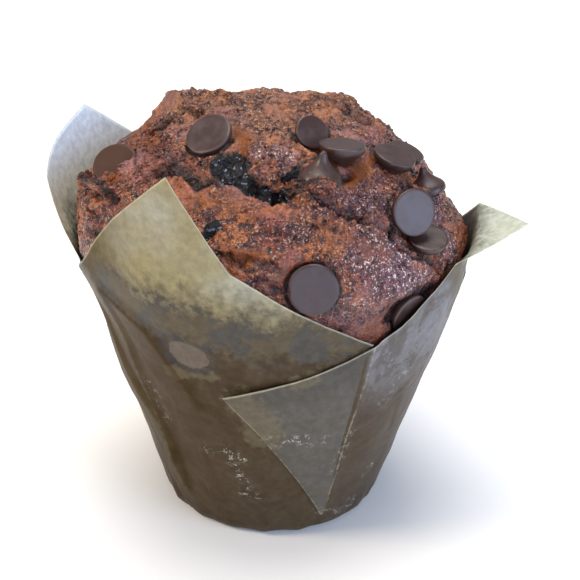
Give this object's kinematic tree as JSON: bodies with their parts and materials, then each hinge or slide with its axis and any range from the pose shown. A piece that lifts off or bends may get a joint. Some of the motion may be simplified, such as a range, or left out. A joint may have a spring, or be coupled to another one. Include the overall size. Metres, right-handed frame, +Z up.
{
  "type": "muffin",
  "caption": "Domed chocolate muffin with baked-in chocolate chips, standing in a pleated tulip-shaped parchment wrapper.",
  "frame": {"origin": "centre of the round flat base of the wrapper, on the surface that it stands on", "axes": "+Z up through the crown of the muffin, -Y towards the front, where the pleat's loose corner and the front chip are, +X to the right"},
  "size_m": [0.0991, 0.093, 0.0923],
  "materials": {
    "crumb": "baked chocolate crumb, porous and slightly moist",
    "parchment": "greaseproof parchment, translucent and stained with fat below, dry and pale above",
    "chocolate": "dark chocolate, satin"
  },
  "bodies": {
    "root": {"muffin_cake": "crumb", "tulip_wrapper": "parchment", "chip_crown_left": "chocolate", "chip_left_shoulder": "chocolate", "chip_front": "chocolate", "chip_right_upper": "chocolate", "chip_right_lower": "chocolate", "chip_right_crown": "chocolate", "chip_crown_flat": "chocolate", "chip_crown_back": "chocolate", "chip_crown_upright": "chocolate", "chip_right_upright": "chocolate", "chip_right_edge": "chocolate", "chip_right_rim": "chocolate", "chip_in_front_wall": "chocolate", "chip_back_crown": "chocolate", "chip_back_left": "chocolate", "chip_back_middle": "chocolate", "chip_back_right": "chocolate", "chip_back_low": "chocolate"}
  },
  "joints": []
}
